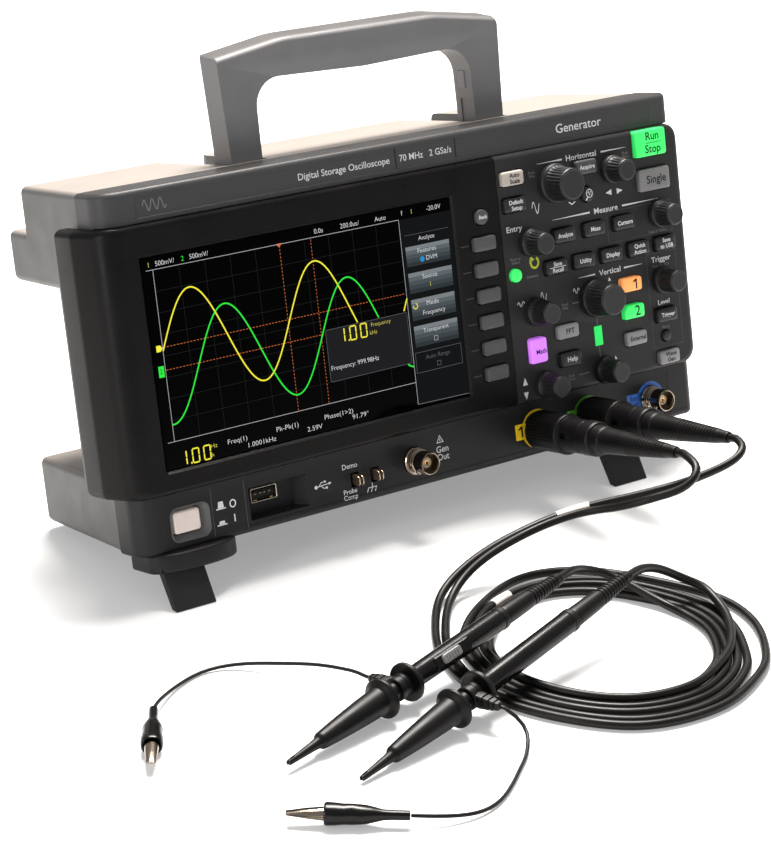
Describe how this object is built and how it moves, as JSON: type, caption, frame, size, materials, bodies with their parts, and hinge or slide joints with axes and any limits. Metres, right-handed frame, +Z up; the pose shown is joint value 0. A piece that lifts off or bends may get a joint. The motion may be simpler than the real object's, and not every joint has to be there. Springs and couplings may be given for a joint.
{
  "type": "function generator",
  "caption": "Bench oscilloscope with a built-in function generator, carrying handle, tilt legs, knobs, keys, connectors and two coiled probes on cables.",
  "frame": {"origin": "centre of the instrument's footprint box, on the bench that it stands on", "axes": "+X to the instrument's right, along its width; -Y out of its front; +Z up"},
  "size_m": [0.3823, 0.3417, 0.2126],
  "materials": {
    "case_grey": "fine textured grey moulding",
    "charcoal": "satin charcoal moulding",
    "bezel_black": "satin black moulding",
    "screen": "clear gloss over a black display",
    "nickel": "bright nickel plating",
    "brass": "plated brass",
    "rubber_black": "smooth black flexible PVC and rubber",
    "key_dark": "satin near-black",
    "softkey_grey": "satin dark grey",
    "key_grey": "satin mid grey",
    "key_white": "satin warm white",
    "key_green": "translucent green, lit from behind",
    "key_orange": "translucent orange, lit from behind",
    "key_violet": "translucent violet, lit from behind"
  },
  "bodies": {
    "instrument": {"ac_inlet": "key_dark", "bnc_channel_1": "nickel", "bnc_channel_2": "nickel", "bnc_ext_trigger": "nickel", "bnc_gen_out": "nickel", "cable_coil": "rubber_black", "control_panel": "charcoal", "display_bezel": "bezel_black", "display_module": "screen", "front_housing": "charcoal", "ground_clip_1": "nickel", "ground_clip_2": "nickel", "ground_lead_1": "rubber_black", "ground_lead_2": "rubber_black", "probe_1_body": "rubber_black", "probe_1_cable": "rubber_black", "probe_1_plug": "rubber_black", "probe_1_tail": "rubber_black", "probe_2_body": "rubber_black", "probe_2_cable": "rubber_black", "probe_2_plug": "rubber_black", "probe_2_tail": "rubber_black", "probe_comp_terminals": "brass", "rear_case": "case_grey", "usb_port": "nickel"},
    "acquire_key": {"acquire_key": "key_dark"},
    "auto_scale_key": {"auto_scale_key": "key_white"},
    "back_key": {"back_key": "key_dark"},
    "channel_1_key": {"channel_1_key": "key_orange"},
    "channel_2_key": {"channel_2_key": "key_green"},
    "cursors_knob": {"cursors_knob": "key_dark"},
    "default_setup_key": {"default_setup_key": "key_dark"},
    "entry_knob": {"entry_knob": "key_dark"},
    "external_key": {"external_key": "key_grey"},
    "fft_key": {"fft_key": "key_grey"},
    "file_keys": {"file_keys": "key_dark"},
    "force_key": {"force_key": "key_dark"},
    "generator_key": {"generator_key": "key_grey"},
    "handle": {"handle": "case_grey"},
    "help_key": {"help_key": "key_dark"},
    "horizontal_position_knob": {"horizontal_position_knob": "key_dark"},
    "horizontal_scale_knob": {"horizontal_scale_knob": "key_dark"},
    "intensity_key": {"intensity_key": "key_green"},
    "math_key": {"math_key": "key_violet"},
    "math_position_knob": {"math_position_knob": "key_dark"},
    "math_scale_knob": {"math_scale_knob": "key_dark"},
    "measure_keys": {"measure_keys": "key_dark"},
    "power_button": {"power_button": "key_white"},
    "probe_1_hook_sleeve": {"probe_1_hook_sleeve": "rubber_black"},
    "probe_2_hook_sleeve": {"probe_2_hook_sleeve": "rubber_black"},
    "run_stop_key": {"run_stop_key": "key_green"},
    "single_key": {"single_key": "key_grey"},
    "softkeys": {"softkeys": "softkey_grey"},
    "tilt_leg_left": {"tilt_leg_left": "bezel_black"},
    "tilt_leg_right": {"tilt_leg_right": "bezel_black"},
    "trigger_key": {"trigger_key": "key_dark"},
    "trigger_level_knob": {"trigger_level_knob": "key_dark"},
    "vertical_position_knob": {"vertical_position_knob": "key_dark"},
    "vertical_scale_knob": {"vertical_scale_knob": "key_dark"},
    "zoom_key": {"zoom_key": "key_dark"}
  },
  "joints": [
    {"name": "handle_fold", "type": "hinge", "parent": "instrument", "child": "handle", "pos_m": [0, 0.00603, 0.14757], "axis": [-1, 0, 0], "range_deg": [0, 90]},
    {"name": "tilt_leg_left_fold", "type": "hinge", "parent": "instrument", "child": "tilt_leg_left", "pos_m": [-0.133, -0.05282, 0.0166], "axis": [1, 0, 0], "range_deg": [0, 110]},
    {"name": "tilt_leg_right_fold", "type": "hinge", "parent": "instrument", "child": "tilt_leg_right", "pos_m": [0.102, -0.05282, 0.0166], "axis": [1, 0, 0], "range_deg": [0, 110]},
    {"name": "cursors_turn", "type": "hinge", "parent": "instrument", "child": "cursors_knob", "pos_m": [0.1365, -0.03951, 0.11583], "axis": [0, -0.9833, 0.1822], "continuous": true},
    {"name": "entry_turn", "type": "hinge", "parent": "instrument", "child": "entry_knob", "pos_m": [0.0608, -0.03964, 0.11515], "axis": [0, -0.9833, 0.1822], "continuous": true},
    {"name": "horizontal_position_turn", "type": "hinge", "parent": "instrument", "child": "horizontal_position_knob", "pos_m": [0.1106, -0.03509, 0.13973], "axis": [0, -0.9833, 0.1822], "continuous": true},
    {"name": "horizontal_scale_turn", "type": "hinge", "parent": "instrument", "child": "horizontal_scale_knob", "pos_m": [0.077, -0.03529, 0.13865], "axis": [0, -0.9833, 0.1822], "continuous": true},
    {"name": "math_position_turn", "type": "hinge", "parent": "instrument", "child": "math_position_knob", "pos_m": [0.062, -0.0514, 0.05173], "axis": [0, -0.9833, 0.1822], "continuous": true},
    {"name": "math_scale_turn", "type": "hinge", "parent": "instrument", "child": "math_scale_knob", "pos_m": [0.0604, -0.04529, 0.08467], "axis": [0, -0.9833, 0.1822], "continuous": true},
    {"name": "trigger_level_turn", "type": "hinge", "parent": "instrument", "child": "trigger_level_knob", "pos_m": [0.1352, -0.04507, 0.08585], "axis": [0, -0.9833, 0.1822], "continuous": true},
    {"name": "vertical_position_turn", "type": "hinge", "parent": "instrument", "child": "vertical_position_knob", "pos_m": [0.0967, -0.05141, 0.05163], "axis": [0, -0.9833, 0.1822], "continuous": true},
    {"name": "vertical_scale_turn", "type": "hinge", "parent": "instrument", "child": "vertical_scale_knob", "pos_m": [0.0944, -0.04529, 0.08467], "axis": [0, -0.9833, 0.1822], "continuous": true},
    {"name": "acquire_key_press", "type": "slide", "parent": "instrument", "child": "acquire_key", "axis": [0, 0.9833, -0.1822], "range_m": [0, 0.001], "stiffness_N_per_m": 400, "springref_m": -0.001},
    {"name": "auto_scale_key_press", "type": "slide", "parent": "instrument", "child": "auto_scale_key", "axis": [0, 0.9833, -0.1822], "range_m": [0, 0.001], "stiffness_N_per_m": 400, "springref_m": -0.001},
    {"name": "back_key_press", "type": "slide", "parent": "instrument", "child": "back_key", "axis": [0, 0.9833, -0.1822], "range_m": [0, 0.001], "stiffness_N_per_m": 400, "springref_m": -0.001},
    {"name": "channel_1_key_press", "type": "slide", "parent": "instrument", "child": "channel_1_key", "axis": [0, 0.9833, -0.1822], "range_m": [0, 0.001], "stiffness_N_per_m": 400, "springref_m": -0.001},
    {"name": "channel_2_key_press", "type": "slide", "parent": "instrument", "child": "channel_2_key", "axis": [0, 0.9833, -0.1822], "range_m": [0, 0.001], "stiffness_N_per_m": 400, "springref_m": -0.001},
    {"name": "default_setup_key_press", "type": "slide", "parent": "instrument", "child": "default_setup_key", "axis": [0, 0.9833, -0.1822], "range_m": [0, 0.001], "stiffness_N_per_m": 400, "springref_m": -0.001},
    {"name": "external_key_press", "type": "slide", "parent": "instrument", "child": "external_key", "axis": [0, 0.9833, -0.1822], "range_m": [0, 0.001], "stiffness_N_per_m": 400, "springref_m": -0.001},
    {"name": "fft_key_press", "type": "slide", "parent": "instrument", "child": "fft_key", "axis": [0, 0.9833, -0.1822], "range_m": [0, 0.001], "stiffness_N_per_m": 400, "springref_m": -0.001},
    {"name": "file_keys_press", "type": "slide", "parent": "instrument", "child": "file_keys", "axis": [0, 0.9833, -0.1822], "range_m": [0, 0.001], "stiffness_N_per_m": 400, "springref_m": -0.001},
    {"name": "force_key_press", "type": "slide", "parent": "instrument", "child": "force_key", "axis": [0, 0.9833, -0.1822], "range_m": [0, 0.001], "stiffness_N_per_m": 400, "springref_m": -0.001},
    {"name": "generator_key_press", "type": "slide", "parent": "instrument", "child": "generator_key", "axis": [0, 0.9833, -0.1822], "range_m": [0, 0.001], "stiffness_N_per_m": 400, "springref_m": -0.001},
    {"name": "help_key_press", "type": "slide", "parent": "instrument", "child": "help_key", "axis": [0, 0.9833, -0.1822], "range_m": [0, 0.001], "stiffness_N_per_m": 400, "springref_m": -0.001},
    {"name": "intensity_key_press", "type": "slide", "parent": "instrument", "child": "intensity_key", "axis": [0, 0.9833, -0.1822], "range_m": [0, 0.001], "stiffness_N_per_m": 400, "springref_m": -0.001},
    {"name": "math_key_press", "type": "slide", "parent": "instrument", "child": "math_key", "axis": [0, 0.9833, -0.1822], "range_m": [0, 0.001], "stiffness_N_per_m": 400, "springref_m": -0.001},
    {"name": "measure_keys_press", "type": "slide", "parent": "instrument", "child": "measure_keys", "axis": [0, 0.9833, -0.1822], "range_m": [0, 0.001], "stiffness_N_per_m": 400, "springref_m": -0.001},
    {"name": "run_stop_key_press", "type": "slide", "parent": "instrument", "child": "run_stop_key", "axis": [0, 0.9833, -0.1822], "range_m": [0, 0.001], "stiffness_N_per_m": 400, "springref_m": -0.001},
    {"name": "single_key_press", "type": "slide", "parent": "instrument", "child": "single_key", "axis": [0, 0.9833, -0.1822], "range_m": [0, 0.001], "stiffness_N_per_m": 400, "springref_m": -0.001},
    {"name": "softkeys_press", "type": "slide", "parent": "instrument", "child": "softkeys", "axis": [0, 0.9833, -0.1822], "range_m": [0, 0.001], "stiffness_N_per_m": 400, "springref_m": -0.001},
    {"name": "trigger_key_press", "type": "slide", "parent": "instrument", "child": "trigger_key", "axis": [0, 0.9833, -0.1822], "range_m": [0, 0.001], "stiffness_N_per_m": 400, "springref_m": -0.001},
    {"name": "zoom_key_press", "type": "slide", "parent": "instrument", "child": "zoom_key", "axis": [0, 0.9833, -0.1822], "range_m": [0, 0.001], "stiffness_N_per_m": 400, "springref_m": -0.001},
    {"name": "power_button_press", "type": "slide", "parent": "instrument", "child": "power_button", "axis": [0, 0.9833, -0.1822], "range_m": [0, 0.002], "stiffness_N_per_m": 400, "springref_m": -0.001},
    {"name": "probe_1_hook_slide", "type": "slide", "parent": "instrument", "child": "probe_1_hook_sleeve", "axis": [0.9617, 0.2589, 0.0899], "range_m": [0, 0.005], "stiffness_N_per_m": 250, "springref_m": -0.004},
    {"name": "probe_2_hook_slide", "type": "slide", "parent": "instrument", "child": "probe_2_hook_sleeve", "axis": [0.9592, 0.2503, 0.1317], "range_m": [0, 0.005], "stiffness_N_per_m": 250, "springref_m": -0.004}
  ]
}
